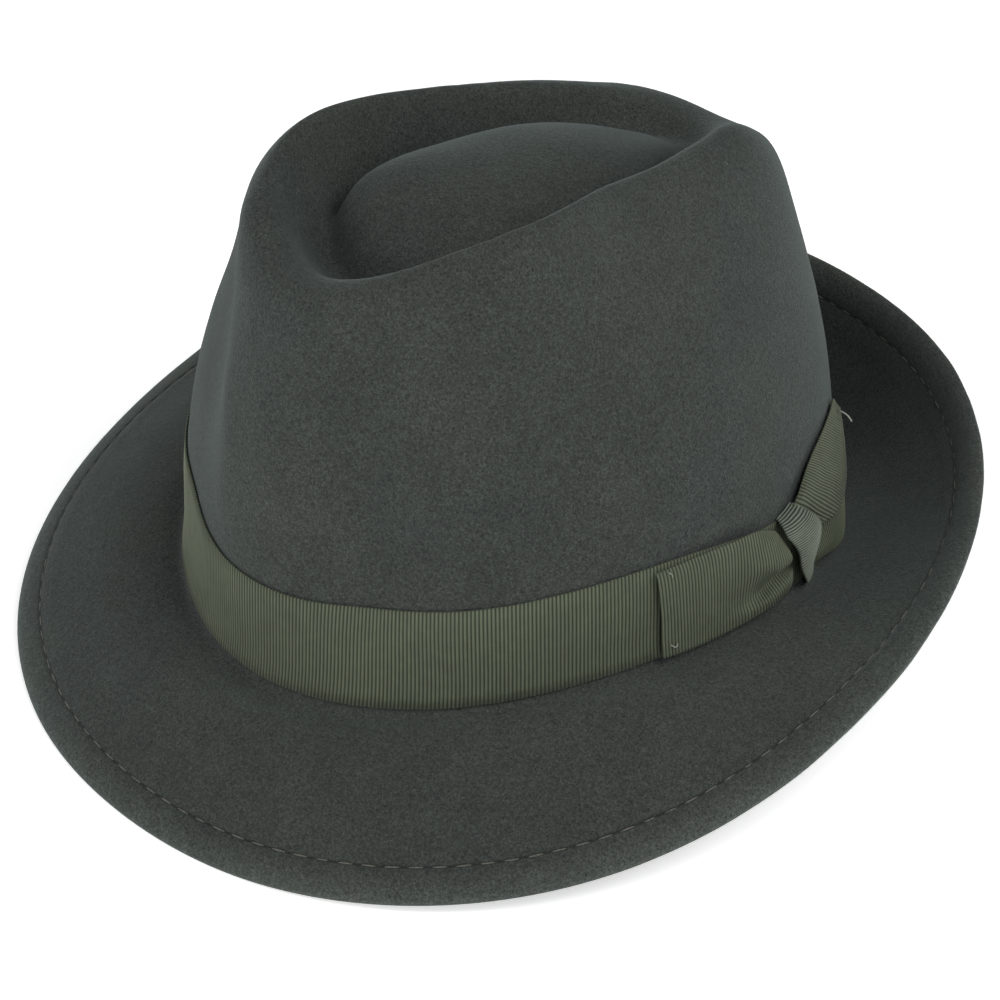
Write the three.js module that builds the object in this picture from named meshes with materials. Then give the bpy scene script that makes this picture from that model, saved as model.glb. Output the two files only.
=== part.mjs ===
// Trilby hat in soft wool felt: a shaped crown and a turned brim in one piece of felt,
// a ribbon round the foot of the crown and a flat bow on the wearer's left.
// Millimetres, +Z up, front of the hat toward -Y, the wearer's left toward +X.
import * as THREE from 'three';

// Driving sizes of the hat
const HEAD_LENGTH = 208;
const HEAD_WIDTH = 176.3;
const CROWN_HEIGHT = 130;
const BRIM_LENGTH = 284.6;
const BRIM_WIDTH = 267.2;
const BRIM_CURL = 31.3;
const BRIM_SHIFT = 10.3;
const HEADLINE_HEIGHT = 14.3;
const HEADLINE_SADDLE = 9;
const HEADLINE_TILT = 5.4;
const RIBBON_WIDTH = 30.8;
const RIBBON_FOOT = 0.9;
const RIBBON_LEAN = 0.053;
const CROWN_TUCK = 2.7;
const FELT = 2;
const WELT = 3.2;
const WELT_WIDTH = 9.5;
const RIBBON = 0.7;
const GAP = 0.3;
const BOW_GAP = 0.5;
const BOW_RIBBON = 0.8;
const KNOT_RIBBON = 1.1;
const REST_FLAT = 1.2;
const AROUND = 56;

// Small sizes of the turns, folds and edges
const BREAK_DROP = 0.7;
const BREAK_OUT = 1.7;
const WELT_STEP = 0.8;
const WELT_RISE = 0.35;
const EDGE_ROUND = 0.14;
const KNOT_CLEARANCE = 2.2;
const KNOT_CROWN = 0.7;
const MOST_PITCH = 0.2;

const halfLength = HEAD_LENGTH / 2;
const halfWidth = HEAD_WIDTH / 2;
const degree = Math.PI / 180;

// Crown rows from the middle of the top down to the ribbon.
// length, width and centre are shares of the head's half length and half width, and egg widens
// the front. height, front, saddle, third and fourth are shares of the crown height: front lifts
// the front over the back, saddle lifts the ends over the sides, and the last two are finer waves.
// pinch is the share drawn in at the two front dents, "at" degrees either side of the front.
const CROWN_ROWS = [
  { steps: 2, length: 0.005, width: 0.006, centre: 0, square: 2, egg: 0,
    height: 1.023, front: 0, saddle: 0, third: 0, fourth: 0, pinch: 0, at: 32, spread: 14 },
  { steps: 2, length: 0.26, width: 0.17, centre: 0, square: 2.1, egg: 0.1,
    height: 1.008, front: 0, saddle: 0, third: 0, fourth: 0, pinch: 0, at: 32, spread: 14 },
  { steps: 3, length: 0.462, width: 0.295, centre: 0, square: 2.2, egg: 0.2,
    height: 0.95, front: 0, saddle: -0.008, third: 0, fourth: 0, pinch: 0, at: 32, spread: 14 },
  { steps: 2, length: 0.548, width: 0.34, centre: -0.019, square: 2.2, egg: 0.28,
    height: 0.869, front: -0.023, saddle: 0.008, third: 0, fourth: 0, pinch: 0, at: 32, spread: 14 },
  { steps: 3, length: 0.606, width: 0.386, centre: -0.019, square: 2.3, egg: 0.28,
    height: 0.931, front: 0.008, saddle: -0.038, third: -0.008, fourth: -0.008,
    pinch: 0, at: 32, spread: 14 },
  { steps: 3, length: 0.6875, width: 0.4425, centre: -0.019, square: 2.3, egg: 0.26,
    height: 1.0115, front: 0.046, saddle: -0.0615, third: -0.017, fourth: -0.0155,
    pinch: 0, at: 32, spread: 14 },
  { steps: 3, length: 0.798, width: 0.533, centre: 0, square: 2.3, egg: 0.16,
    height: 0.973, front: 0.05, saddle: -0.046, third: -0.0115, fourth: -0.0115,
    pinch: 0.04, at: 32, spread: 14 },
  { steps: 2, length: 0.865, width: 0.692, centre: -0.014, square: 2.15, egg: 0.06,
    height: 0.815, front: 0.046, saddle: -0.0385, third: 0, fourth: 0, pinch: 0.13, at: 29, spread: 14 },
  { steps: 2, length: 0.917, width: 0.862, centre: -0.029, square: 2.1, egg: 0,
    height: 0.6, front: 0.046, saddle: -0.054, third: 0, fourth: 0, pinch: 0.12, at: 27, spread: 13 },
];

// How much of a dent across the hat also shortens it along the hat.
const DENT_ALONG = 0.45;
// What is left of the two front dents at the top of the ribbon.
const WALL_DENT = { pinch: 0.05, at: 25, spread: 12 };
const NO_DENT = { pinch: 0, at: 25, spread: 12 };

// Brim rows from the headline outward, as shares of the way to the brim edge.
const BRIM_ROWS = [
  { steps: 2, out: 0.12 },
  { steps: 3, out: 0.42 },
];
// How late the brim takes up its edge's lift: 1 is a straight slope, more curls it near the edge.
const BRIM_BEND = 1.75;
// The brim edge's middle height and its waves, as shares of the curl, and how square it is.
const BRIM_EDGE = { height: 0.58, saddle: 0.05, third: 0.067, fourth: -0.027, square: 2.09 };

// Panels of the bow: stations round the hat, "at" degrees at the foot, with the top led back by
// lean. bottom and top are shares of the ribbon width, lift and crease millimetres off the ribbon.
const FRONT_PANEL = [
  { at: 73.6, lean: -1, bottom: 0.03, top: 0.985, lift: 0, crease: 0 },
  { at: 78.5, lean: -1.2, bottom: 0.03, top: 0.99, lift: 0.2, crease: 0 },
  { at: 83.5, lean: -1.5, bottom: 0.03, top: 0.99, lift: 0.7, crease: 0.1 },
  { at: 88, lean: -2, bottom: 0.03, top: 0.985, lift: 1.2, crease: 0.4 },
  { at: 92.5, lean: -2.7, bottom: 0.04, top: 0.97, lift: 1.6, crease: 0.8 },
  { at: 96.5, lean: -3.6, bottom: 0.07, top: 0.94, lift: 1.8, crease: 1.1 },
  { at: 100, lean: -4.6, bottom: 0.11, top: 0.9, lift: 1.5, crease: 0.8 },
  { at: 103.8, lean: -6.2, bottom: 0.17, top: 0.85, lift: 0.8, crease: 0.3 },
];
const REAR_PANEL = [
  { at: 105, lean: -5.8, bottom: 0.17, top: 0.87, lift: 0.8, crease: 0.3 },
  { at: 107.3, lean: -4.6, bottom: 0.17, top: 1.03, lift: 1.1, crease: 0.6 },
  { at: 110, lean: -3.6, bottom: 0.17, top: 1.18, lift: 1.5, crease: 0.9 },
  { at: 113.5, lean: -2.6, bottom: 0.15, top: 1.28, lift: 1.6, crease: 0.8 },
  { at: 118, lean: -1.4, bottom: 0.12, top: 1.34, lift: 1.4, crease: 0.5 },
  { at: 123, lean: -0.4, bottom: 0.08, top: 1.36, lift: 0.9, crease: 0.2 },
  { at: 129, lean: 0.8, bottom: 0.05, top: 1.36, lift: 0.2, crease: 0 },
];
const BOW_LINES = 9;
// The knot: a short leaning wrap over the gathered ends, rows from its lower to its upper end,
// with the degrees of its middle, half its breadth in degrees and its lift in millimetres.
const KNOT_ROWS = [
  { share: 0.2, at: 104.2, half: 1.6, lift: -0.5 },
  { share: 0.28, at: 104.6, half: 2.1, lift: 0.1 },
  { share: 0.42, at: 104.9, half: 2.6, lift: 0.6 },
  { share: 0.58, at: 105, half: 3.6, lift: 0.9 },
  { share: 0.72, at: 104.2, half: 4.2, lift: 0.8 },
  { share: 0.84, at: 102.4, half: 4.3, lift: 0.4 },
  { share: 0.93, at: 100, half: 4, lift: -0.4 },
];
const KNOT_LINES = 5;

function cos(angle, times) {
  return Math.cos(angle * times);
}

// One closed row of the hat: an oval with squared or egg-shaped ends, waved in height.
function ringPoint(row, angle) {
  const c = Math.cos(angle);
  const s = Math.sin(angle);
  const n = row.square;
  const r = Math.pow(Math.pow(Math.abs(c), n) + Math.pow(Math.abs(s), n), -1 / n);
  const turned = Math.abs(Math.atan2(s, c)) / degree;
  const reach = (turned - row.at) / row.spread;
  const drawn = row.pinch * Math.exp(-reach * reach);
  const x = row.halfWidth * r * s * (1 + row.egg * c) * (1 - drawn);
  const y = -row.halfLength * r * c * (1 - DENT_ALONG * drawn) + row.centre;
  const z = row.height + row.front * c + row.saddle * cos(angle, 2)
    + row.third * cos(angle, 3) + row.fourth * cos(angle, 4);
  return new THREE.Vector3(x, y, z);
}

function crownRow(share) {
  return {
    steps: share.steps,
    halfLength: share.length * halfLength,
    halfWidth: share.width * halfWidth,
    centre: share.centre * halfLength,
    square: share.square,
    egg: share.egg,
    height: share.height * CROWN_HEIGHT,
    front: share.front * CROWN_HEIGHT,
    saddle: share.saddle * CROWN_HEIGHT,
    third: share.third * CROWN_HEIGHT,
    fourth: share.fourth * CROWN_HEIGHT,
    pinch: share.pinch,
    at: share.at,
    spread: share.spread,
  };
}

// A row on the upright wall behind the ribbon, "up" millimetres above the headline and "off"
// millimetres outside it. The wall leans in all round, and the back is tucked in further.
function wallRow(steps, up, off, dent) {
  const lean = 1 - (up * Math.sin(RIBBON_LEAN)) / halfLength;
  const tuck = (CROWN_TUCK * up) / RIBBON_WIDTH;
  return {
    steps,
    halfLength: halfLength * lean - tuck + off,
    halfWidth: halfWidth * lean + off,
    centre: -tuck,
    square: 2,
    egg: 0,
    height: HEADLINE_HEIGHT + up * Math.cos(RIBBON_LEAN),
    front: HEADLINE_TILT,
    saddle: -HEADLINE_SADDLE,
    third: 0,
    fourth: 0,
    ...dent,
  };
}

function brimRow(steps, out) {
  const rise = Math.pow(out, BRIM_BEND);
  return {
    steps,
    halfLength: halfLength + (BRIM_LENGTH / 2 - halfLength) * out,
    halfWidth: halfWidth + (BRIM_WIDTH / 2 - halfWidth) * out,
    centre: -BRIM_SHIFT * out,
    square: 2 + (BRIM_EDGE.square - 2) * out,
    egg: 0,
    height: HEADLINE_HEIGHT + (BRIM_EDGE.height * BRIM_CURL - HEADLINE_HEIGHT) * rise,
    front: HEADLINE_TILT - (BRIM_CURL + HEADLINE_TILT) * rise,
    saddle: -HEADLINE_SADDLE + (BRIM_EDGE.saddle * BRIM_CURL + HEADLINE_SADDLE) * rise,
    third: BRIM_EDGE.third * BRIM_CURL * rise,
    fourth: BRIM_EDGE.fourth * BRIM_CURL * rise,
    ...NO_DENT,
  };
}

const brimSpan = (BRIM_LENGTH - HEAD_LENGTH) / 2;
const weltShare = 1 - WELT_WIDTH / brimSpan;
const weltStep = WELT_STEP / brimSpan;
const ROWS = [
  ...CROWN_ROWS.map(crownRow),
  wallRow(3, RIBBON_FOOT + RIBBON_WIDTH, 0, WALL_DENT),
  wallRow(1, RIBBON_FOOT, 0, NO_DENT),
  wallRow(1, -BREAK_DROP, BREAK_OUT, NO_DENT),
  ...BRIM_ROWS.map((row) => brimRow(row.steps, row.out)),
  brimRow(1, weltShare - weltStep),
  brimRow(3, weltShare + weltStep),
  brimRow(1, 1),
];
const WALL_TOP = CROWN_ROWS.length;
const EDGE = ROWS.length - 1;

// Smooth passage through the rows: "place" counts rows, its fraction lies between two of them.
function skinPoint(place, angle) {
  const k = Math.min(Math.floor(place), ROWS.length - 2);
  const t = place - k;
  const b = ringPoint(ROWS[k], angle);
  const c = ringPoint(ROWS[k + 1], angle);
  const a = k > 0 ? ringPoint(ROWS[k - 1], angle) : b.clone().multiplyScalar(2).sub(c);
  const last = k + 2 < ROWS.length;
  const d = last ? ringPoint(ROWS[k + 2], angle) : c.clone().multiplyScalar(2).sub(b);
  const ab = Math.sqrt(a.distanceTo(b)) + 1e-6;
  const bc = Math.sqrt(b.distanceTo(c)) + 1e-6;
  const cd = Math.sqrt(c.distanceTo(d)) + 1e-6;
  const leave = new THREE.Vector3();
  leave.addScaledVector(b, 1 / ab).addScaledVector(a, -1 / ab);
  leave.addScaledVector(c, -1 / (ab + bc)).addScaledVector(a, 1 / (ab + bc));
  leave.addScaledVector(c, 1 / bc).addScaledVector(b, -1 / bc);
  const arrive = new THREE.Vector3();
  arrive.addScaledVector(c, 1 / bc).addScaledVector(b, -1 / bc);
  arrive.addScaledVector(d, -1 / (bc + cd)).addScaledVector(b, 1 / (bc + cd));
  arrive.addScaledVector(d, 1 / cd).addScaledVector(c, -1 / cd);
  const point = new THREE.Vector3();
  point.addScaledVector(b, 2 * t * t * t - 3 * t * t + 1);
  point.addScaledVector(leave, bc * (t * t * t - 2 * t * t + t));
  point.addScaledVector(c, -2 * t * t * t + 3 * t * t);
  point.addScaledVector(arrive, bc * (t * t * t - t * t));
  return point;
}

function skinNormal(place, angle) {
  const step = 0.02;
  const low = Math.max(place - step, 0.02);
  const high = Math.min(place + step, ROWS.length - 1);
  const along = skinPoint(high, angle).sub(skinPoint(low, angle));
  const across = skinPoint(place, angle + step).sub(skinPoint(place, angle - step));
  return along.cross(across).normalize();
}

function raised(place, angle, lift) {
  return skinPoint(place, angle).addScaledVector(skinNormal(place, angle), lift);
}

// Places of the modelled sections, from the top's middle to the start of the welt.
function sectionPlaces() {
  const places = [];
  ROWS.slice(0, -1).forEach((row, k) => {
    for (let j = 0; j < row.steps; j += 1) {
      places.push(k + j / row.steps);
    }
  });
  return places.slice(1);
}

const angles = Array.from({ length: AROUND }, (_, i) => (i * 360 * degree) / AROUND);

function ringAt(place, lift) {
  return angles.map((angle) => raised(place, angle, lift));
}

// A closed solid from rings listed in order round its section.
function tube(rings) {
  const count = rings[0].length;
  const points = rings.flat();
  const faces = [];
  rings.forEach((ring, k) => {
    const next = (k + 1) % rings.length;
    for (let i = 0; i < count; i += 1) {
      const j = (i + 1) % count;
      faces.push([k * count + i, next * count + i, next * count + j]);
      faces.push([k * count + i, next * count + j, k * count + j]);
    }
  });
  return { points, faces };
}

// A closed solid from rings listed from one pole to the other.
function capsule(first, rings, last) {
  const count = rings[0].length;
  const points = [first, ...rings.flat(), last];
  const end = points.length - 1;
  const tail = 1 + (rings.length - 1) * count;
  const faces = [];
  for (let i = 0; i < count; i += 1) {
    const j = (i + 1) % count;
    faces.push([0, 1 + i, 1 + j]);
    faces.push([end, tail + j, tail + i]);
  }
  for (let k = 0; k + 1 < rings.length; k += 1) {
    const here = 1 + k * count;
    const next = here + count;
    for (let i = 0; i < count; i += 1) {
      const j = (i + 1) % count;
      faces.push([here + i, next + i, next + j]);
      faces.push([here + i, next + j, here + j]);
    }
  }
  return { points, faces };
}

// A closed solid from two matching grids of points, the outer and the inner face of a strip.
function slab(outer, inner) {
  const rows = outer.length;
  const columns = outer[0].length;
  const points = [...outer.flat(), ...inner.flat()];
  const shift = rows * columns;
  const faces = [];
  const quad = (a, b, c, d) => {
    faces.push([a, b, c]);
    faces.push([a, c, d]);
  };
  for (let i = 0; i + 1 < rows; i += 1) {
    for (let j = 0; j + 1 < columns; j += 1) {
      const a = i * columns + j;
      quad(a, a + 1, a + columns + 1, a + columns);
      quad(shift + a, shift + a + columns, shift + a + columns + 1, shift + a + 1);
    }
  }
  for (let i = 0; i + 1 < rows; i += 1) {
    const a = i * columns;
    const b = a + columns - 1;
    quad(a, a + columns, shift + a + columns, shift + a);
    quad(b, shift + b, shift + b + columns, b + columns);
  }
  for (let j = 0; j + 1 < columns; j += 1) {
    const a = j;
    const b = (rows - 1) * columns + j;
    quad(a, shift + a, shift + a + 1, a + 1);
    quad(b, b + 1, shift + b + 1, shift + b);
  }
  return { points, faces };
}

// The felt: one skin from the top's middle to the brim edge, its edge folded under as a welt.
function overWelt(place) {
  return place >= EDGE - 1;
}

function feltBody() {
  const places = sectionPlaces();
  const above = places.map((place) => ringAt(place, overWelt(place) ? WELT_RISE : 0));
  const under = places.map((place) => ringAt(place, overWelt(place) ? WELT_RISE - WELT : -FELT));
  const brow = [
    ringAt(EDGE - EDGE_ROUND, WELT_RISE),
    ringAt(EDGE, WELT_RISE - WELT / 2),
    ringAt(EDGE - EDGE_ROUND, WELT_RISE - WELT),
  ];
  const summit = new THREE.Vector3(0, ROWS[0].centre, ROWS[0].height);
  const ceiling = summit.clone().setZ(summit.z - FELT);
  return capsule(summit, [...above, ...brow, ...under.reverse()], ceiling);
}

// The ribbon lies on the upright wall, a gap clear of the felt.
function hatBand() {
  const steps = ROWS[WALL_TOP].steps;
  const places = Array.from({ length: steps + 1 }, (_, j) => WALL_TOP + j / steps);
  const inner = places.map((place) => ringAt(place, GAP));
  const outer = places.map((place) => ringAt(place, GAP + RIBBON));
  return tube([...inner, ...outer.reverse()]);
}

const bowLift = GAP + RIBBON + BOW_GAP;

function bowPanel(stations) {
  const face = (extra) => stations.map((station) => (
    Array.from({ length: BOW_LINES }, (_, j) => {
      const across = j / (BOW_LINES - 1);
      const angle = (station.at + station.lean * across * across) * degree;
      const share = station.bottom + (station.top - station.bottom) * across;
      const fold = Math.sin(1.5 * Math.PI * across);
      const lift = bowLift + station.lift + station.crease * fold * fold + extra;
      return raised(WALL_TOP + 1 - share, angle, lift);
    })
  ));
  return slab(face(BOW_RIBBON), face(0));
}

function bowKnot() {
  const base = bowLift + BOW_RIBBON + KNOT_CLEARANCE;
  const face = (extra) => KNOT_ROWS.map((row) => (
    Array.from({ length: KNOT_LINES }, (_, j) => {
      const across = (2 * j) / (KNOT_LINES - 1) - 1;
      const angle = (row.at + across * row.half) * degree;
      const lift = base + row.lift + KNOT_CROWN * (1 - across * across) + extra;
      return raised(WALL_TOP + 1 - row.share, angle, lift);
    })
  ));
  return slab(face(KNOT_RIBBON), face(0));
}

// The hat lies as by itself: it pitches until its front and its back rest on one plane.
function lowest(points, pitch, side) {
  const c = Math.cos(pitch);
  const s = Math.sin(pitch);
  const own = points.filter((p) => p.y * side > 0);
  return own.reduce((low, p) => Math.min(low, p.y * s + p.z * c), Infinity);
}

function restingPitch(points) {
  let low = -MOST_PITCH;
  let high = MOST_PITCH;
  for (let i = 0; i < 40; i += 1) {
    const middle = (low + high) / 2;
    if (lowest(points, middle, 1) > lowest(points, middle, -1)) {
      high = middle;
    } else {
      low = middle;
    }
  }
  return (low + high) / 2;
}

function laidDown(solids) {
  const felt = solids.felt_body.points;
  const pitch = restingPitch(felt);
  const all = Object.values(solids).flatMap((solid) => solid.points);
  all.forEach((p) => p.applyAxisAngle(new THREE.Vector3(1, 0, 0), pitch));
  const box = new THREE.Box3().setFromPoints(felt);
  const shift = new THREE.Vector3(
    -(box.min.x + box.max.x) / 2,
    -(box.min.y + box.max.y) / 2,
    -box.min.z - REST_FLAT,
  );
  all.forEach((p) => p.add(shift));
  felt.forEach((p) => p.setZ(Math.max(p.z, 0)));
  return solids;
}

function signedVolume({ points, faces }) {
  const turn = new THREE.Vector3();
  return faces.reduce((sum, [a, b, c]) => (
    sum + turn.crossVectors(points[a], points[b]).dot(points[c]) / 6
  ), 0);
}

function mesh(name, solid, look) {
  const outward = signedVolume(solid) > 0;
  const faces = outward ? solid.faces : solid.faces.map(([a, b, c]) => [a, c, b]);
  const geometry = new THREE.BufferGeometry();
  const flat = solid.points.flatMap((p) => [p.x, p.y, p.z]);
  geometry.setAttribute('position', new THREE.Float32BufferAttribute(flat, 3));
  geometry.setIndex(faces.flat());
  geometry.computeVertexNormals();
  const made = new THREE.Mesh(geometry, look);
  made.name = name;
  return made;
}

const felt = new THREE.MeshStandardMaterial({ color: 0x3e433f, roughness: 0.96, metalness: 0 });
const ribbon = new THREE.MeshStandardMaterial({ color: 0x4b5244, roughness: 0.78, metalness: 0 });

const solids = laidDown({
  felt_body: feltBody(),
  hat_band: hatBand(),
  bow_front_panel: bowPanel(FRONT_PANEL),
  bow_rear_panel: bowPanel(REAR_PANEL),
  bow_knot: bowKnot(),
});

const hat = new THREE.Group();
hat.name = 'trilby_hat';
Object.entries(solids).forEach(([name, solid]) => {
  hat.add(mesh(name, solid, name === 'felt_body' ? felt : ribbon));
});

export default hat;
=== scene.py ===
import math
from bisect import bisect
from random import Random

import bmesh
import bpy
from mathutils import Matrix, Quaternion, Vector, noise
from mathutils.bvhtree import BVHTree
from mathutils.kdtree import KDTree


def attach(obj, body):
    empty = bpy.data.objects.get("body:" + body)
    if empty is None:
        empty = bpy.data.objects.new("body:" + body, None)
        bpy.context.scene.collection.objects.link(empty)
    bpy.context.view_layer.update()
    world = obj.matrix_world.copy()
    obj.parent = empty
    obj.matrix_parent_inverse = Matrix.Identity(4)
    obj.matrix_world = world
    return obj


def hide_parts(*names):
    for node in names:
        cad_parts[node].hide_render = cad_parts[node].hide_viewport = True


# Sizes of the hat, in metres
FELT = 0.002
HALF_LENGTH = 0.104
HALF_WIDTH = 0.08815
HEAD_CENTRE = 0.009
RIBBON_WIDTH = 0.031
RIB = 0.00108
RIB_DEPTH = 0.00011
RIB_STEPS = 4
CROSS_THREAD = 0.00042
WOVEN_EDGE = 0.0006
BAND_LIFT = 0.00075
BAND_CLOTH = 0.0006
BOW_CLOTH = 0.0005
KNOT_WIDTH = 0.014
KNOT_CLOTH = 0.0006
KNOT_RIB_DEPTH = 0.00022
SWAY = 0.0003
SWAY_SEED = 7
DIMPLE = 0.00014
EDGE_ROLL = 0.0005
EDGE_HIGHLIGHT_REACH = 0.008
FURROW = 0.0011
STITCH_IN = 0.0094
STITCH_PITCH = 0.0062
STITCH_LENGTH = 0.0041
STITCH_WIDE = 0.00026
STITCH_HIGH = 0.00022

# The band, in degrees round the crown and shares of its width: where its ends meet, where the
# bow pulls its edge down, how far that reaches before and after there, and how deep it goes
BAND_JOIN = 100
DIP_PLACE = 99
DIP_BEFORE = 17
DIP_AFTER = 14
DIP_DEPTH = 0.155
# Below this share the wall bends out into the brim, so pieces hang straight down from it
WALL_FOOT = 0.03

# Front loop of the bow: lines from its foot to its head, each from the free end to the knot.
# A point is degrees round the crown, share of the ribbon's width and millimetres off the felt.
FRONT_LOOP = [
    [(73.9, 0.02, 3.0), (78.5, -0.01, 2.7), (83.2, -0.02, 2.7), (87.9, 0.00, 3.1),
     (92.6, 0.01, 3.6), (96.5, 0.03, 3.8), (99.3, 0.07, 3.4), (101.8, 0.11, 2.2)],
    [(73.7, 0.24, 3.1), (78.5, 0.22, 2.8), (83.2, 0.17, 3.0), (87.7, 0.136, 3.6),
     (91.9, 0.158, 4.6), (95.3, 0.21, 5.2), (98.8, 0.24, 4.8), (101.5, 0.25, 2.6)],
    [(73.5, 0.48, 3.1), (78.3, 0.46, 2.8), (83.2, 0.38, 3.0), (87.8, 0.28, 2.9),
     (92.4, 0.26, 2.2), (95.8, 0.30, 1.6), (99.4, 0.32, 1.4), (102.3, 0.31, 1.4)],
    [(73.1, 0.75, 3.1), (78.0, 0.72, 2.8), (82.9, 0.66, 3.0), (87.4, 0.61, 3.6),
     (91.4, 0.58, 5.2), (95.0, 0.51, 6.2), (98.5, 0.49, 5.5), (101.2, 0.43, 2.2)],
    [(72.9, 0.87, 3.0), (77.8, 0.86, 2.7), (82.7, 0.85, 2.8), (87.4, 0.845, 3.3),
     (91.4, 0.825, 3.9), (95.0, 0.76, 4.3), (98.3, 0.64, 3.8), (100.7, 0.50, 1.7)],
    [(72.7, 0.955, 2.8), (77.5, 0.95, 2.4), (82.5, 0.945, 2.4), (87.4, 0.932, 2.7),
     (91.5, 0.928, 3.2), (94.1, 0.886, 3.3), (96.8, 0.80, 2.5), (98.9, 0.66, 1.4)],
]
# Rear loop and tail of the bow, charted the same way, each line from the knot to the far end
REAR_LOOP = [
    [(104.9, 0.17, 3.0), (107.5, 0.16, 3.3), (110.5, 0.14, 3.6), (114.0, 0.11, 4.2),
     (118.5, 0.07, 4.0), (123.5, 0.05, 3.1), (128.8, 0.04, 2.2)],
    [(104.8, 0.30, 4.1), (107.5, 0.29, 4.6), (110.5, 0.28, 4.9), (114.0, 0.27, 5.2),
     (118.5, 0.26, 4.8), (123.5, 0.25, 3.7), (128.9, 0.25, 2.4)],
    [(104.0, 0.47, 1.8), (106.8, 0.49, 2.1), (110.0, 0.50, 3.2), (113.6, 0.50, 4.3),
     (118.2, 0.50, 4.4), (123.3, 0.50, 3.5), (129.0, 0.50, 2.4)],
    [(102.9, 0.60, 3.6), (105.6, 0.66, 3.9), (109.0, 0.71, 4.0), (112.8, 0.74, 4.5),
     (117.6, 0.75, 4.3), (123.0, 0.75, 3.4), (129.1, 0.75, 2.3)],
    [(101.0, 0.76, 2.6), (103.6, 0.85, 2.6), (107.2, 0.92, 2.5), (111.6, 0.97, 2.9),
     (117.0, 0.98, 2.9), (122.8, 0.98, 2.4), (129.2, 0.98, 2.0)],
]
TAIL = [
    [(109.2, 0.59, 4.6), (112.7, 0.58, 5.4), (116.4, 0.62, 5.5), (120.1, 0.70, 5.1),
     (123.8, 0.80, 4.3), (127.2, 0.92, 3.4), (130.4, 1.06, 2.7), (133.6, 1.18, 2.1)],
    [(106.1, 0.72, 3.8), (107.9, 0.78, 5.0), (111.1, 0.85, 5.5), (115.0, 0.91, 5.5),
     (119.1, 0.99, 4.7), (123.3, 1.08, 3.8), (127.6, 1.19, 2.9), (131.5, 1.27, 2.3)],
    [(103.8, 0.82, 3.8), (105.1, 0.90, 4.7), (107.8, 0.98, 4.9), (111.7, 1.05, 4.3),
     (116.1, 1.115, 3.5), (120.6, 1.19, 2.8), (125.2, 1.28, 2.4), (129.6, 1.34, 2.1)],
    [(102.2, 0.88, 3.4), (103.8, 0.98, 3.9), (106.2, 1.06, 3.9), (110.0, 1.135, 3.3),
     (114.1, 1.205, 2.7), (118.7, 1.275, 2.2), (123.6, 1.35, 1.9), (128.6, 1.40, 1.7)],
    [(101.6, 0.92, 2.4), (103.4, 1.00, 2.4), (105.7, 1.10, 2.2), (108.8, 1.19, 1.9),
     (112.4, 1.265, 1.7), (117.2, 1.335, 1.5), (122.8, 1.40, 1.3), (128.5, 1.45, 1.2)],
]
# The knot, rib by rib from under the lower edge to over the upper one: degrees and share of
# its left end, the same of its right end, millimetres off the felt at the ends and the middle.
KNOT = [
    (106.6, -0.08, 108.4, -0.02, 0.9, 0.9), (105.1, -0.02, 107.0, 0.07, 3.2, 3.3),
    (103.1, 0.14, 105.9, 0.27, 4.8, 5.2), (101.9, 0.28, 106.5, 0.40, 5.3, 6.1),
    (101.2, 0.39, 107.0, 0.49, 5.6, 6.6), (100.7, 0.48, 107.2, 0.585, 5.7, 6.9),
    (99.9, 0.58, 106.9, 0.68, 5.7, 7.0), (98.7, 0.68, 105.8, 0.76, 5.6, 6.8),
    (97.5, 0.77, 104.5, 0.83, 5.3, 6.4), (97.2, 0.83, 103.2, 0.885, 4.6, 5.5),
    (97.6, 0.86, 102.5, 0.93, 3.0, 3.6), (98.3, 0.87, 102.4, 0.945, 0.9, 1.0),
]
# Places where the felt was pressed by hand: centre, reach and push, all in millimetres
PRESSED = [
    ((41, 12, 142), 19, (-5.5, 0.5, 0.6)),
    ((34, 48, 137), 14, (-3.0, 1.0, 2.0)),
    ((22, 66, 131), 11, (0.5, 0.0, 4.5)),
    ((-14, -24, 134), 16, (-3.0, -1.0, 6.0)),
    ((6, 50, 131), 13, (0.0, 0.0, -2.5)),
    ((-24, 66, 139), 16, (0.0, 0.0, -1.2)),
    ((4, -66, 133), 12, (-0.4, -1.3, -0.4)),
    ((-20, -60, 138), 24, (-1.6, -1.2, 1.2)),
    ((54, 74, 100), 34, (0.9, 1.0, 0.2)),
    ((46, 72, 125), 18, (0.9, 1.0, 0.5)),
    ((-8, 10, 136), 16, (-1.0, 0.0, 1.8)),
    ((-24, -36, 120), 9, (0.0, 0.0, 5.0)),
]
# The soft ridge that runs down the front of the crown, in millimetres, and how it stands out
RIDGE = [(-29, -60, 137), (-23, -67, 129), (-21, -72, 116), (-17, -78, 105), (-14, -83, 93),
         (-12, -86, 80), (-10, -89, 65)]
RIDGE_REACH = 0.0045
RIDGE_PUSH = Vector((-0.0004, -0.0007, 0.00015))
# Thread ends: name, radius in metres, and points as in the tables of the bow
THREAD_ENDS = [
    ("tail_thread", 0.00024, [(128.5, 1.30, 1.8), (127.0, 1.34, 3.0), (126.5, 1.30, 5.0),
                              (126.0, 1.24, 6.2)]),
    ("front_stitch_upper", 0.00014, [(74.6, 0.93, 2.9), (74.9, 0.91, 3.6), (75.1, 0.88, 3.0)]),
    ("front_stitch_lower", 0.00014, [(74.9, 0.16, 2.9), (75.6, 0.13, 3.6), (76.3, 0.14, 2.8)]),
]

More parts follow.
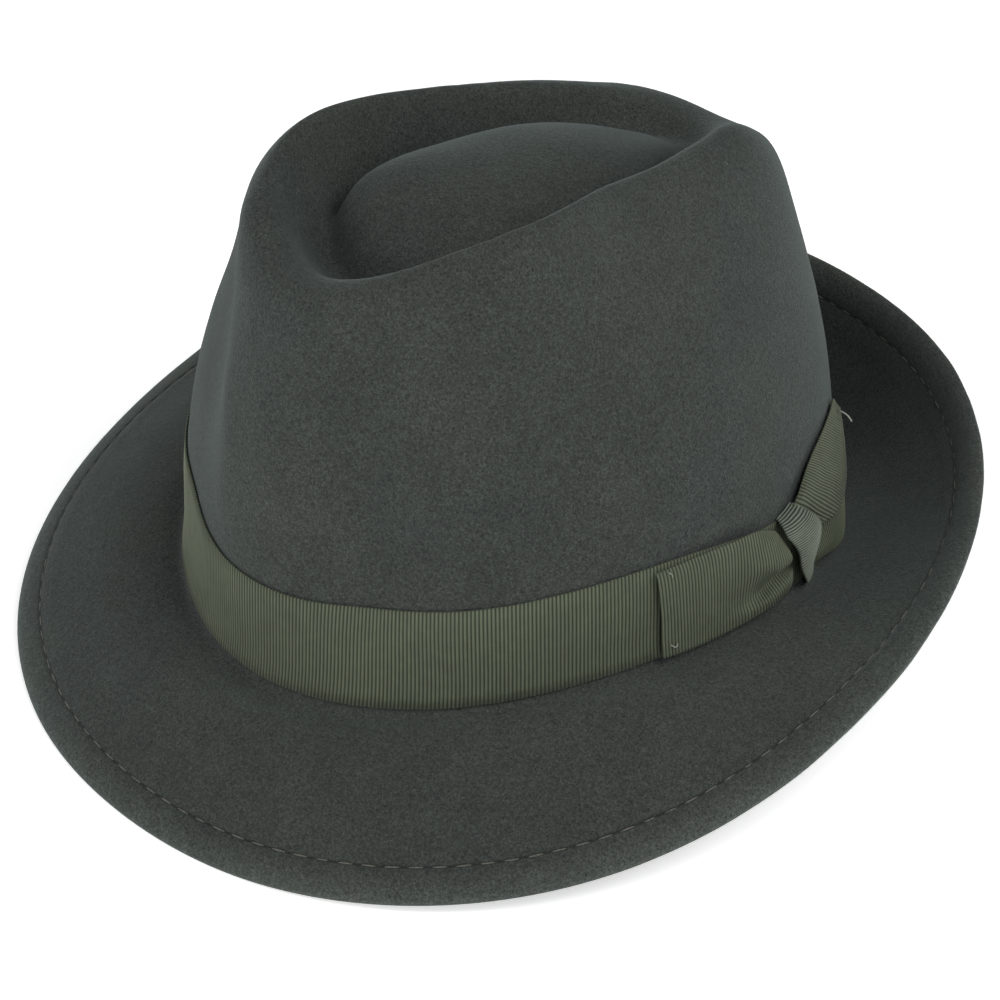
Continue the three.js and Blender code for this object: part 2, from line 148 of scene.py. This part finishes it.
# Soft lights: name, place in metres and power in watts
LIGHTS = [
    ("right high", (0.85, 0.15, 1.29), 10.2),
    ("front low", (-0.48, -1.31, 0.62), 7.7),
    ("front high", (-0.29, -0.81, 1.29), 2.5),
    ("right low", (1.31, -0.48, 0.62), 2.9),
    ("rear right", (0.70, 1.20, 0.62), 4.3),
    ("rear left", (-1.42, 0.40, 0.32), 4.5),
]
LIGHT_AIM = Vector((0, 0, 0.06))
LIGHT_SIZE = 0.8
FLOOR_HALF = 6
FLOOR_GLOW = 0.55
WORLD_GLOW = 0.05

CAMERA_AIM = Vector((0.00893, -0.00673, 0.03601))
CAMERA_AZIMUTH = 47.046
CAMERA_ELEVATION = 36.962
CAMERA_ROLL = -0.770
CAMERA_DISTANCE = 0.74856
CAMERA_LENS = 93.93


def place_camera():
    data = bpy.data.cameras.new("camera")
    data.sensor_width = 36
    data.lens = CAMERA_LENS
    data.clip_start = 0.05
    camera = bpy.data.objects.new("camera", data)
    bpy.context.scene.collection.objects.link(camera)
    turn, tilt = math.radians(CAMERA_AZIMUTH), math.radians(CAMERA_ELEVATION)
    back = Vector((math.sin(turn) * math.cos(tilt), -math.cos(turn) * math.cos(tilt), math.sin(tilt)))
    roll = Quaternion((0, 0, 1), math.radians(CAMERA_ROLL))
    camera.rotation_euler = (back.to_track_quat("Z", "Y") @ roll).to_euler()
    camera.location = CAMERA_AIM + CAMERA_DISTANCE * back
    bpy.context.scene.camera = camera


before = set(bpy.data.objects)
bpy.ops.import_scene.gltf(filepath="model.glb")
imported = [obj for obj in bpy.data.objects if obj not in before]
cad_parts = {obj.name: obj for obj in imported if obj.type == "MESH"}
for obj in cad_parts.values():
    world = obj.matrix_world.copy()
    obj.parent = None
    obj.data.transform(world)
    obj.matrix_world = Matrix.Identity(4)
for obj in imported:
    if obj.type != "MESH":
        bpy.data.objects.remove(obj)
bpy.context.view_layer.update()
place_camera()


# Small tools

def mesh_from(name, bm):
    mesh = bpy.data.meshes.new(name)
    bm.to_mesh(mesh)
    bm.free()
    return mesh


def add_object(name, bm):
    made = bpy.data.objects.new(name, mesh_from(name, bm))
    bpy.context.scene.collection.objects.link(made)
    return made


def apply_modifiers(piece):
    graph = bpy.context.evaluated_depsgraph_get()
    mesh = bpy.data.meshes.new_from_object(piece.evaluated_get(graph))
    piece.modifiers.clear()
    piece.data = mesh


def shade_smooth(piece):
    for face in piece.data.polygons:
        face.use_smooth = True


def finish_piece(piece, material, slot, *nodes):
    piece.data.materials.clear()
    piece.data.materials.append(material)
    shade_smooth(piece)
    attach(piece, "root")
    if nodes:
        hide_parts(*nodes)


def curve_through(points, t):
    """A smooth curve through points, with t from 0 to 1 over its whole run."""
    reach = t * (len(points) - 1)
    k = min(int(reach), len(points) - 2)
    t = reach - k
    b, c = points[k], points[k + 1]
    a = points[k - 1] if k else 2 * b - c
    d = points[k + 2] if k + 2 < len(points) else 2 * c - b
    return 0.5 * (2 * b + (c - a) * t + (2 * a - 5 * b + 4 * c - d) * t * t
                  + (3 * b - a - 3 * c + d) * t * t * t)


# Materials

def new_material(name):
    material = bpy.data.materials.new(name)
    material.use_nodes = True
    tree = material.node_tree
    return material, tree, tree.nodes["Principled BSDF"]


def node(tree, kind, values=None, **settings):
    made = tree.nodes.new("ShaderNode" + kind)
    for key, value in settings.items():
        setattr(made, key, value)
    for key, value in (values or {}).items():
        if isinstance(value, bpy.types.NodeSocket):
            tree.links.new(value, made.inputs[key])
        else:
            made.inputs[key].default_value = value
    return made


def maths(tree, operation, first, second=0.0):
    return node(tree, "Math", {0: first, 1: second}, operation=operation).outputs[0]


def blended(tree, how, amount, first, second):
    made = node(tree, "Mix", {0: amount, 6: first, 7: second}, data_type="RGBA", blend_type=how)
    return made.outputs[2]


def ramp(tree, value, stops):
    made = node(tree, "ValToRGB", {0: value})
    elements = made.color_ramp.elements
    for place, colour in stops[2:]:
        elements.new(place)
    for element, (place, colour) in zip(elements, stops):
        element.position = place
        element.color = (*colour, 1)
    return made.outputs[0]


def grain(tree, place, scale, detail=2.0, rough=0.5, bend=0.0):
    values = {"Vector": place, "Scale": scale, "Detail": detail, "Roughness": rough, "Distortion": bend}
    return node(tree, "TexNoise", values).outputs["Fac"]


FELT_DARK = (0.023, 0.027, 0.025)
FELT_MIDDLE = (0.051, 0.059, 0.053)
FELT_LIGHT = (0.102, 0.115, 0.104)


def felt_material():
    material, tree, shader = new_material("wool felt")
    place = node(tree, "TexCoord").outputs["Object"]
    fibres = grain(tree, place, 1900, 4, 0.66, 0.5)
    fluff = grain(tree, place, 980, 3, 0.6, 0.8)
    mottle = grain(tree, place, 90, 4, 0.6, 0.2)
    broad = grain(tree, place, 21, 2, 0.5)
    colour = ramp(tree, fibres, [(0.28, FELT_DARK), (0.72, FELT_LIGHT), (0.5, FELT_MIDDLE)])
    soft = ramp(tree, fluff, [(0.34, (0.60, 0.60, 0.60)), (0.66, (1.0, 1.0, 1.0))])
    colour = blended(tree, "MULTIPLY", 1.0, colour, soft)
    patch = ramp(tree, mottle, [(0.33, (0.93, 0.93, 0.93)), (0.68, (1.06, 1.06, 1.06))])
    colour = blended(tree, "MULTIPLY", 1.0, colour, patch)
    shade = ramp(tree, broad, [(0.35, (0.95, 0.96, 0.98)), (0.65, (1.05, 1.04, 1.02))])
    colour = blended(tree, "MULTIPLY", 1.0, colour, shade)
    # a shallow furrow where the brim's edge is stitched, with painted shade darkening the felt's colour in it
    inside = node(tree, "Attribute", attribute_name="edge_run").outputs["Fac"]
    away = maths(tree, "ABSOLUTE", maths(tree, "SUBTRACT", inside, STITCH_IN))
    furrow = node(tree, "MapRange", {0: away, 1: 0.0, 2: FURROW, 3: 0.0, 4: 1.0},
                  interpolation_type="SMOOTHSTEP").outputs[0]
    furrow_painted_shade = ramp(tree, furrow, [(0.0, (0.5, 0.5, 0.5)), (0.5, (1, 1, 1))])
    colour = blended(tree, "MULTIPLY", 1.0, colour, furrow_painted_shade)
    # the felt is painted lighter towards the very edge, a painted highlight on the rolled welt
    edge_painted_highlight = node(tree, "MapRange", {0: inside, 1: 0.0, 2: EDGE_HIGHLIGHT_REACH, 3: 1.5, 4: 1.0}).outputs[0]
    colour = blended(tree, "MULTIPLY", 1.0, colour, edge_painted_highlight)
    tree.links.new(colour, shader.inputs["Base Color"])
    rough = node(tree, "MapRange", {0: fluff, 3: 0.86, 4: 1.0}).outputs[0]
    tree.links.new(rough, shader.inputs["Roughness"])
    first = node(tree, "Bump", {"Strength": 0.5, "Distance": 0.0008, "Height": furrow})
    second = node(tree, "Bump", {"Strength": 0.2, "Distance": 0.0008, "Height": mottle,
                                 "Normal": first.outputs[0]})
    third = node(tree, "Bump", {"Strength": 0.4, "Distance": 0.0006, "Height": fluff,
                                "Normal": second.outputs[0]})
    fourth = node(tree, "Bump", {"Strength": 0.5, "Distance": 0.00035, "Height": fibres,
                                 "Normal": third.outputs[0]})
    tree.links.new(fourth.outputs[0], shader.inputs["Normal"])
    shader.inputs["Specular IOR Level"].default_value = 0.12
    shader.inputs["Sheen Weight"].default_value = 0.27
    shader.inputs["Sheen Roughness"].default_value = 0.42
    shader.inputs["Sheen Tint"].default_value = (0.66, 0.80, 0.79, 1)
    return material


def ribbon_material(name, lit_crest, shaded_groove):
    material, tree, shader = new_material(name)
    cloth = node(tree, "UVMap", uv_map="weave").outputs["UV"]
    along = node(tree, "SeparateXYZ", {0: cloth}).outputs
    # one unit along is one rib, one unit across is one thread
    rib = maths(tree, "COSINE", maths(tree, "MULTIPLY", along[0], 2 * math.pi))
    rib = node(tree, "MapRange", {0: rib, 1: -1.0, 2: 1.0}).outputs[0]
    step = maths(tree, "MULTIPLY", along[0], math.pi)
    crossing = maths(tree, "MULTIPLY", along[1], 2 * math.pi)
    thread = maths(tree, "COSINE", maths(tree, "ADD", crossing, step))
    thread = node(tree, "MapRange", {0: thread, 1: -1.0, 2: 1.0}).outputs[0]
    place = node(tree, "TexCoord").outputs["Object"]
    uneven = grain(tree, place, 260, 3, 0.6)
    broad = grain(tree, place, 45, 2, 0.5)
    # rib crests are painted lighter and grooves darker: painted highlight and painted shade across each rib,
    # over the raised ribs
    colour = ramp(tree, rib, [(0.08, shaded_groove), (0.72, lit_crest)])
    dim = ramp(tree, thread, [(0.0, (0.84, 0.84, 0.84)), (1.0, (1.06, 1.06, 1.06))])
    colour = blended(tree, "MULTIPLY", 0.8, colour, dim)
    dust = ramp(tree, uneven, [(0.3, (0.9, 0.9, 0.9)), (0.7, (1.1, 1.1, 1.08))])
    colour = blended(tree, "MULTIPLY", 0.8, colour, dust)
    shade = ramp(tree, broad, [(0.35, (0.95, 0.95, 0.95)), (0.65, (1.05, 1.05, 1.03))])
    colour = blended(tree, "MULTIPLY", 1.0, colour, shade)
    tree.links.new(colour, shader.inputs["Base Color"])
    rough = node(tree, "MapRange", {0: rib, 3: 0.8, 4: 0.58}).outputs[0]
    tree.links.new(rough, shader.inputs["Roughness"])
    first = node(tree, "Bump", {"Strength": 0.5, "Distance": 0.0002, "Height": rib})
    second = node(tree, "Bump", {"Strength": 0.35, "Distance": 0.00006, "Height": thread,
                                 "Normal": first.outputs[0]})
    tree.links.new(second.outputs[0], shader.inputs["Normal"])
    shader.inputs["Specular IOR Level"].default_value = 0.3
    shader.inputs["Sheen Weight"].default_value = 0.08
    shader.inputs["Sheen Roughness"].default_value = 0.4
    return material


def thread_material(name, dark, light):
    material, tree, shader = new_material(name)
    place = node(tree, "TexCoord").outputs["Object"]
    twist = grain(tree, place, 2400, 3, 0.6, 0.4)
    tree.links.new(ramp(tree, twist, [(0.3, dark), (0.7, light)]), shader.inputs["Base Color"])
    bump = node(tree, "Bump", {"Strength": 0.5, "Distance": 0.0001, "Height": twist})
    tree.links.new(bump.outputs[0], shader.inputs["Normal"])
    shader.inputs["Roughness"].default_value = 0.8
    shader.inputs["Specular IOR Level"].default_value = 0.2
    return material


felt = felt_material()
ribbon = ribbon_material("grosgrain ribbon", (0.126, 0.150, 0.099), (0.037, 0.046, 0.030))
# the knot's ribbon is the same grosgrain painted brighter, with stronger painted highlight on its crests and
# deeper painted shade in its grooves
knot_ribbon_painted_lit = ribbon_material("grosgrain ribbon painted lit at the knot", (0.195, 0.225, 0.180), (0.030, 0.038, 0.029))
nap = thread_material("loose wool fibre", (0.05, 0.058, 0.053), (0.11, 0.122, 0.115))
sewing = thread_material("sewing thread", (0.07, 0.075, 0.066), (0.19, 0.19, 0.165))
pale = thread_material("pale thread end", (0.28, 0.3, 0.26), (0.5, 0.52, 0.46))


# The felt: the solid's own shape, smoothed and made a little uneven

def ridge_points(stops=200):
    """Close points along the ridge, to look up the nearest one."""
    corners = [Vector(corner) / 1000 for corner in RIDGE]
    near = KDTree(stops)
    for k in range(stops):
        near.insert(curve_through(corners, k / (stops - 1)), k)
    near.balance()
    return near


def make_felt():
    bm = bmesh.new()
    bm.from_mesh(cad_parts["felt_body"].data)
    bmesh.ops.remove_doubles(bm, verts=bm.verts, dist=1e-5)
    bmesh.ops.join_triangles(bm, faces=bm.faces, angle_face_threshold=math.pi,
                             angle_shape_threshold=math.pi)
    piece = add_object("felt_hat", bm)
    smooth = piece.modifiers.new("smooth", "SUBSURF")
    smooth.levels = smooth.render_levels = 2
    apply_modifiers(piece)
    pressed = [(Vector(centre) / 1000, 2 * (reach / 1000) ** 2, Vector(push) / 1000)
               for centre, reach, push in PRESSED]
    ridge = ridge_points()
    noise.seed_set(SWAY_SEED)
    for vertex in piece.data.vertices:
        place = vertex.co.copy()
        # near the floor the felt keeps to the solid, so that it lies as the solid does
        settle = min(max((place.z - 0.004) / 0.02, 0), 1)
        sway = SWAY * noise.noise_vector(place * 22)
        dimple = DIMPLE * noise.noise_vector(place * 85)
        vertex.co = place + settle * (sway + dimple)
        for centre, spread, push in pressed:
            vertex.co += push * math.exp(-(place - centre).length_squared / spread)
        away = ridge.find(place)[2] / RIDGE_REACH
        vertex.co += RIDGE_PUSH * math.exp(-away * away / 2)
    return piece


def brim_outline(mesh, steps=180):
    """Points of the brim's edge at even turns, found as the farthest ones from the middle."""
    edge = [Vector((0, 0, 0))] * steps
    for vertex in mesh.vertices:
        turn = math.atan2(vertex.co.y, vertex.co.x) / (2 * math.pi)
        k = int((turn % 1) * steps) % steps
        if vertex.co.xy.length > edge[k].xy.length:
            edge[k] = vertex.co.copy()
    return edge


def mark_edge_run(mesh, edge, parts=8):
    """Stores how far each point lies from the brim's edge."""
    near = KDTree(len(edge) * parts)
    for k in range(len(edge)):
        for j in range(parts):
            near.insert(edge[k - 1].lerp(edge[k], j / parts), k * parts + j)
    near.balance()
    run = mesh.attributes.new("edge_run", "FLOAT", "POINT")
    run.data.foreach_set("value", [near.find(v.co)[2] for v in mesh.vertices])


def roll_edge(mesh):
    """The brim's welt, from its edge to the stitches, stands up a little in a round roll."""
    moves = []
    for vertex, inside in zip(mesh.vertices, mesh.attributes["edge_run"].data):
        share = min(inside.value / STITCH_IN, 1)
        moves.append(vertex.normal * EDGE_ROLL * math.sin(math.pi * share) ** 0.7)
    for vertex, move in zip(mesh.vertices, moves):
        vertex.co += move
        vertex.co.z = max(vertex.co.z, 0.0)


felt_hat = make_felt()
brim_edge = brim_outline(felt_hat.data)
mark_edge_run(felt_hat.data, brim_edge)
roll_edge(felt_hat.data)
finish_piece(felt_hat, felt, "felt", "felt_body")
felt_skin = BVHTree.FromPolygons([v.co.copy() for v in felt_hat.data.vertices],
                                 [tuple(p.vertices) for p in felt_hat.data.polygons])


# Places on the crown's wall, from the band's own foot and head

def band_heights(around=56):
    low, high = [math.inf] * around, [-math.inf] * around
    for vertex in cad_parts["hat_band"].data.vertices:
        x, y, z = vertex.co
        turn = math.atan2(x / HALF_WIDTH, (HEAD_CENTRE - y) / HALF_LENGTH)
        k = round(turn / (2 * math.pi) * around) % around
        low[k], high[k] = min(low[k], z), max(high[k], z)
    return low, high


BAND_LOW, BAND_HIGH = band_heights()


def round_value(values, angle):
    reach = (angle / 360 % 1) * len(values)
    k, t = int(reach), reach % 1
    a, b, c, d = (values[(k + j) % len(values)] for j in (-1, 0, 1, 2))
    return b + 0.5 * t * (c - a + t * (2 * a - 5 * b + 4 * c - d + t * (3 * (b - c) + d - a)))


def on_wall(angle, share, lift):
    """A point of the wall: degrees round it, share of the ribbon's width, metres off the felt."""
    foot, head = round_value(BAND_LOW, angle), round_value(BAND_HIGH, angle)
    turn = math.radians(angle)
    out = Vector((HALF_WIDTH * math.sin(turn), -HALF_LENGTH * math.cos(turn), 0)).normalized()
    height = foot + (head - foot) * max(share, WALL_FOOT)
    hit, facing, _, _ = felt_skin.ray_cast(Vector((0, HEAD_CENTRE, height)), out)
    drop = (head - foot) * min(share - WALL_FOOT, 0)
    return hit - facing * (FELT + lift) + Vector((0, 0, drop))


# Woven strips

class Net:
    """A smooth surface through lines of points, with even steps along its length."""

    def __init__(self, lines):
        self.lines = lines
        middle = lines[len(lines) // 2]
        self.walk = [0.0]
        count = 24 * len(middle)
        last = middle[0]
        for k in range(1, count + 1):
            here = curve_through(middle, k / count)
            self.walk.append(self.walk[-1] + (here - last).length)
            last = here
        self.length = self.walk[-1]

    def at(self, along, across):
        run = along * self.length
        k = min(max(bisect(self.walk, run) - 1, 0), len(self.walk) - 2)
        span = self.walk[k + 1] - self.walk[k]
        t = (k + (run - self.walk[k]) / span) / (len(self.walk) - 1)
        return curve_through([curve_through(line, t) for line in self.lines], across)


def weave_strip(name, net, width, cloth, rows, rib_depth=RIB_DEPTH, outward=1):
    """A strip of ribbed ribbon on a net, with its ribs raised and its cloth's thickness behind it."""
    ribs = max(round(net.length / RIB), 4)
    bm = bmesh.new()
    bmesh.ops.create_grid(bm, x_segments=ribs * RIB_STEPS, y_segments=rows, size=0.5)
    weave = bm.loops.layers.uv.new("weave")
    threads = width / CROSS_THREAD
    for face in bm.faces:
        for loop in face.loops:
            along, across = loop.vert.co.x + 0.5, loop.vert.co.y + 0.5
            loop[weave].uv = (along * ribs, across * threads)
    spots = {v: (v.co.x + 0.5, v.co.y + 0.5) for v in bm.verts}
    for vertex, (along, across) in spots.items():
        vertex.co = net.at(along, across)
    bmesh.ops.remove_doubles(bm, verts=bm.verts, dist=1e-6)
    if outward < 0:
        bmesh.ops.reverse_faces(bm, faces=bm.faces)
    bm.normal_update()
    for vertex in bm.verts:
        along, across = spots[vertex]
        # ribs sink at the woven edges, where the threads turn back
        edge = min(across, 1 - across) * width
        height = math.cos(2 * math.pi * along * ribs) * (0.55 + 0.45 * min(edge / WOVEN_EDGE, 1))
        vertex.co += vertex.normal * rib_depth * height
    piece = add_object(name, bm)
    back = piece.modifiers.new("cloth", "SOLIDIFY")
    back.thickness = cloth
    back.offset = -1
    apply_modifiers(piece)
    return piece


def wall_net(table):
    return Net([[on_wall(angle, share, lift / 1000) for angle, share, lift in line] for line in table])


def band_head(angle):
    """Share of its width that the band reaches up to; the bow pulls its edge down."""
    away = (angle - DIP_PLACE) % 360
    away = (360 - away) / DIP_BEFORE if away > 180 else away / DIP_AFTER
    return 1 - DIP_DEPTH * math.exp(-away * away)


def ribbon_band(stops=112):
    turns = [BAND_JOIN + 360 * k / stops for k in range(stops + 1)]
    lines = []
    for share in (0.0, 0.25, 0.5, 0.75, 1.0):
        lines.append([on_wall(turn, share * band_head(turn), BAND_LIFT) for turn in turns])
    net = Net(lines)
    piece = weave_strip("hat_ribbon", net, RIBBON_WIDTH, BAND_CLOTH, rows=8)
    finish_piece(piece, ribbon, "ribbon", "hat_band")


def knot_net():
    lines = []
    for side in (0.0, 0.25, 0.5, 0.75, 1.0):
        crown = 1 - (2 * side - 1) ** 2
        line = []
        for left, low, right, high, ends, top in KNOT:
            lift = ends + (top - ends) * crown
            line.append(on_wall(left + (right - left) * side, low + (high - low) * side, lift / 1000))
        lines.append(line)
    return Net(lines)


def bow_pieces():
    front = wall_net(FRONT_LOOP)
    piece = weave_strip("bow_front_loop", front, RIBBON_WIDTH, BOW_CLOTH, rows=30)
    finish_piece(piece, ribbon, "ribbon", "bow_front_panel")
    rear = wall_net(REAR_LOOP)
    piece = weave_strip("bow_rear_loop", rear, RIBBON_WIDTH, BOW_CLOTH, rows=26)
    finish_piece(piece, ribbon, "ribbon", "bow_rear_panel")
    tail = wall_net(TAIL)
    piece = weave_strip("bow_tail", tail, RIBBON_WIDTH, BOW_CLOTH, rows=26)
    finish_piece(piece, ribbon, "ribbon")
    knot = knot_net()
    piece = weave_strip("knot_wrap", knot, KNOT_WIDTH, KNOT_CLOTH, rows=14,
                        rib_depth=KNOT_RIB_DEPTH, outward=-1)
    finish_piece(piece, knot_ribbon_painted_lit, "ribbon", "bow_knot")


ribbon_band()
bow_pieces()


# Stitches along the brim

def brim_seam(side):
    """A line a stitch's distance inside the brim's edge, on its upper (1) or lower (-1) face."""
    down = Vector((0, 0, -side))
    line = []
    for k, rim in enumerate(brim_edge):
        rim = (brim_edge[k - 1] + rim + brim_edge[(k + 1) % len(brim_edge)]) / 3
        inward = Vector((-rim.x, -rim.y, 0)).normalized()
        near, far = 0.001, 0.016
        for _ in range(16):
            reach = (near + far) / 2
            start = rim + inward * reach
            # well above the hat, or well below it
            start.z = 0.2 if side > 0 else -0.1
            hit, facing, _, _ = felt_skin.ray_cast(start, down)
            if (hit - rim).length > STITCH_IN:
                far = reach
            else:
                near = reach
        line.append((hit, facing))
    return line


def add_copy(bm, template, placed):
    template.transform(placed)
    bm.from_mesh(template)
    template.transform(placed.inverted())


def stitch_rows():
    one = bmesh.new()
    bmesh.ops.create_uvsphere(one, u_segments=8, v_segments=6, radius=1)
    bmesh.ops.rotate(one, verts=one.verts, matrix=Matrix.Rotation(math.pi / 2, 3, "Y"))
    bmesh.ops.scale(one, verts=one.verts, vec=(STITCH_LENGTH / 2, STITCH_WIDE, STITCH_HIGH))
    template = mesh_from("stitch", one)
    bm = bmesh.new()
    dice = Random(3)
    for side in (1, -1):
        seam = brim_seam(side)
        seam.append(seam[0])
        walked, wanted = 0.0, 0.5 * STITCH_PITCH if side > 0 else 0.0
        for (a, facing), (b, _) in zip(seam, seam[1:]):
            step = (b - a).length
            while walked + step >= wanted:
                middle = a.lerp(b, (wanted - walked) / step)
                middle, _, _, _ = felt_skin.find_nearest(middle)
                along = (b - a).normalized()
                up = (facing - along * facing.dot(along)).normalized()
                turn = Matrix((along, up.cross(along), up)).transposed().to_4x4()
                turn.translation = middle - up * dice.uniform(-0.00004, 0.00014)
                add_copy(bm, template, turn)
                wanted += STITCH_PITCH
            walked += step
    bpy.data.meshes.remove(template)
    piece = add_object("brim_stitches", bm)
    finish_piece(piece, sewing, "felt")


stitch_rows()


# Loose fibres of the felt, lint and thread ends

def scatter_fibres(name, material, count, longest, radius, seed, wanted):
    """Fine fibres that stand off the felt's faces where wanted(face) is true."""
    dice = Random(seed)
    one = bmesh.new()
    bmesh.ops.create_cone(one, cap_ends=False, segments=3, radius1=1, radius2=0.15, depth=1)
    bmesh.ops.translate(one, verts=one.verts, vec=(0, 0, 0.5))
    template = mesh_from("fibre", one)
    mesh = felt_hat.data
    faces = [f for f in mesh.polygons if wanted(f)]
    sums, total = [], 0.0
    for face in faces:
        total += face.area
        sums.append(total)
    bm = bmesh.new()
    for _ in range(count):
        face = faces[min(bisect(sums, dice.random() * total), len(faces) - 1)]
        corners = [mesh.vertices[i].co for i in face.vertices]
        a, b = corners[0].lerp(corners[1], dice.random()), corners[-1].lerp(corners[-2], dice.random())
        root = a.lerp(b, dice.random()) - face.normal * 0.00003
        lean = Vector([dice.uniform(-1, 1) for _ in range(3)])
        along = (face.normal * dice.uniform(0.15, 0.9) + lean).normalized()
        if along.dot(face.normal) < 0.08:
            along = (along + 0.4 * face.normal).normalized()
        long = longest * dice.uniform(0.35, 1)
        placed = Matrix.Translation(root) @ along.to_track_quat("Z", "Y").to_matrix().to_4x4()
        add_copy(bm, template, placed @ Matrix.Diagonal((radius, radius, long, 1)))
    bpy.data.meshes.remove(template)
    piece = add_object(name, bm)
    finish_piece(piece, material, "felt")


def on_brim_edge(face):
    return min((face.center - rim).length for rim in brim_edge[::3]) < 0.006 and face.center.z > 0.004


def on_upper_felt(face):
    return face.normal.z > -0.5 and face.center.z > 0.006


def on_open_felt(face):
    return face.normal.z > 0.1 and face.center.z > 0.03


scatter_fibres("felt_nap", nap, count=11000, longest=0.0012, radius=0.00002, seed=11, wanted=on_upper_felt)
scatter_fibres("brim_edge_nap", nap, count=5000, longest=0.0013, radius=0.00002, seed=12, wanted=on_brim_edge)
scatter_fibres("felt_lint", pale, count=16, longest=0.0016, radius=0.00005, seed=5, wanted=on_open_felt)


def thread_end(name, points, radius):
    """A short bent thread through points."""
    bm = bmesh.new()
    bmesh.ops.create_cone(bm, cap_ends=True, segments=6, radius1=radius, radius2=radius, depth=1)
    sides = [e for e in bm.edges if abs(e.verts[0].co.z - e.verts[1].co.z) > 0.5]
    bmesh.ops.subdivide_edges(bm, edges=sides, cuts=7)
    for vertex in bm.verts:
        t = min(max(vertex.co.z + 0.5, 0), 1)
        here, ahead = curve_through(points, t), curve_through(points, min(t + 0.02, 1))
        behind = curve_through(points, max(t - 0.02, 0))
        turn = (ahead - behind).to_track_quat("Z", "Y")
        vertex.co = here + turn @ Vector((vertex.co.x, vertex.co.y, 0))
    bmesh.ops.recalc_face_normals(bm, faces=bm.faces)
    piece = add_object(name, bm)
    finish_piece(piece, pale, "ribbon")


for end_name, radius, places in THREAD_ENDS:
    thread_end(end_name, [on_wall(angle, share, lift / 1000) for angle, share, lift in places], radius)


# Floor and light

def soft_light(name, place, power):
    data = bpy.data.lights.new(name, "AREA")
    data.size = LIGHT_SIZE
    data.energy = power
    light = bpy.data.objects.new(name, data)
    bpy.context.scene.collection.objects.link(light)
    light.location = place
    light.rotation_euler = (Vector(place) - LIGHT_AIM).to_track_quat("Z", "Y").to_euler()


def set_stage():
    bm = bmesh.new()
    bmesh.ops.create_grid(bm, x_segments=1, y_segments=1, size=FLOOR_HALF)
    floor = add_object("floor", bm)
    material, tree, shader = new_material("pale floor")
    shader.inputs["Base Color"].default_value = (0.93, 0.93, 0.93, 1)
    shader.inputs["Roughness"].default_value = 0.9
    shader.inputs["Emission Color"].default_value = (1, 1, 1, 1)
    shader.inputs["Emission Strength"].default_value = FLOOR_GLOW
    floor.data.materials.append(material)
    for name, place, power in LIGHTS:
        soft_light(name, place, power)
    world = bpy.data.worlds.new("studio")
    world.use_nodes = True
    world.node_tree.nodes["Background"].inputs[0].default_value = (1, 1, 1, 1)
    world.node_tree.nodes["Background"].inputs[1].default_value = WORLD_GLOW
    bpy.context.scene.world = world
    bpy.context.scene.view_settings.view_transform = "Standard"


set_stage()
